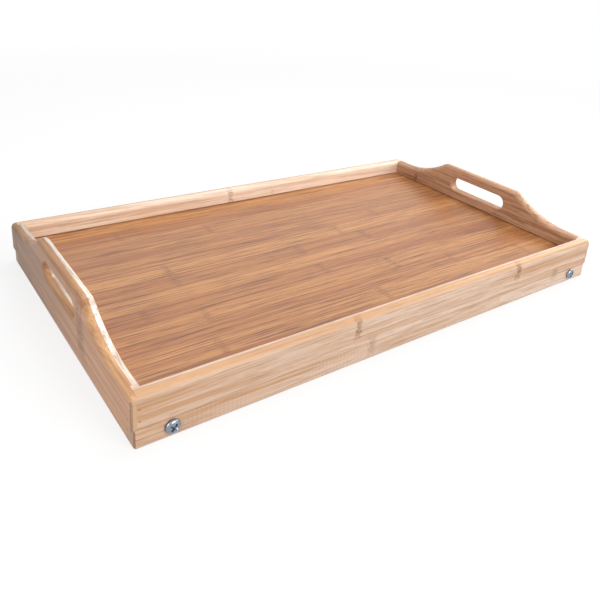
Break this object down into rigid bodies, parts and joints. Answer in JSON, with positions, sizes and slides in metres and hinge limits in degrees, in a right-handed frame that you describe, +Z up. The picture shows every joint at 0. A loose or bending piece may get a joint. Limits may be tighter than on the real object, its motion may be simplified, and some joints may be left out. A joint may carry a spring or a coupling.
{
  "type": "folding breakfast table",
  "caption": "Bamboo bed tray with a rimmed panel, arched end handles with hand slots, and two pairs of legs that fold flat under it on pivot bolts.",
  "frame": {"origin": "centre of the closed tray's underside, on the surface that it rests on", "axes": "+X along the tray's length towards the right handle, +Y across it towards the back rail, +Z up"},
  "size_m": [0.5, 0.307, 0.064],
  "materials": {
    "natural_bamboo": "pale laminated bamboo under a satin clear lacquer",
    "carbonised_bamboo": "steamed, darker bamboo strips under a satin clear lacquer",
    "zinc_plated_steel": "bright zinc plating, slightly blue"
  },
  "bodies": {
    "tray": {"left_handle_board": "natural_bamboo", "right_handle_board": "natural_bamboo", "front_upper_rail": "natural_bamboo", "back_upper_rail": "natural_bamboo", "front_lower_rail": "natural_bamboo", "back_lower_rail": "natural_bamboo", "left_end_strip": "natural_bamboo", "right_end_strip": "natural_bamboo", "tray_panel": "carbonised_bamboo", "left_front_pivot_bolt": "zinc_plated_steel", "left_back_pivot_bolt": "zinc_plated_steel", "right_front_pivot_bolt": "zinc_plated_steel", "right_back_pivot_bolt": "zinc_plated_steel", "left_front_spacer_washer": "zinc_plated_steel", "left_back_spacer_washer": "zinc_plated_steel", "right_front_spacer_washer": "zinc_plated_steel", "right_back_spacer_washer": "zinc_plated_steel", "left_front_inner_washer": "zinc_plated_steel", "left_back_inner_washer": "zinc_plated_steel", "right_front_inner_washer": "zinc_plated_steel", "right_back_inner_washer": "zinc_plated_steel", "left_front_lock_nut": "zinc_plated_steel", "left_back_lock_nut": "zinc_plated_steel", "right_front_lock_nut": "zinc_plated_steel", "right_back_lock_nut": "zinc_plated_steel", "left_front_low_brad": "zinc_plated_steel", "left_front_high_brad": "zinc_plated_steel", "left_back_low_brad": "zinc_plated_steel", "left_back_high_brad": "zinc_plated_steel", "right_front_low_brad": "zinc_plated_steel", "right_front_high_brad": "zinc_plated_steel", "right_back_low_brad": "zinc_plated_steel", "right_back_high_brad": "zinc_plated_steel"},
    "left_leg_frame": {"left_front_leg": "natural_bamboo", "left_back_leg": "natural_bamboo", "left_crossbar": "natural_bamboo", "left_front_screw_1": "zinc_plated_steel", "left_front_screw_2": "zinc_plated_steel", "left_back_screw_1": "zinc_plated_steel", "left_back_screw_2": "zinc_plated_steel"},
    "right_leg_frame": {"right_front_leg": "natural_bamboo", "right_back_leg": "natural_bamboo", "right_crossbar": "natural_bamboo", "right_front_screw_1": "zinc_plated_steel", "right_front_screw_2": "zinc_plated_steel", "right_back_screw_1": "zinc_plated_steel", "right_back_screw_2": "zinc_plated_steel"}
  },
  "joints": [
    {"name": "left_leg_fold", "type": "hinge", "parent": "tray", "child": "left_leg_frame", "pos_m": [-0.2225, 0, 0.009], "axis": [0, 1, 0], "range_deg": [0, 100]},
    {"name": "right_leg_fold", "type": "hinge", "parent": "tray", "child": "right_leg_frame", "pos_m": [0.2225, 0, 0.009], "axis": [0, -1, 0], "range_deg": [0, 100]}
  ]
}
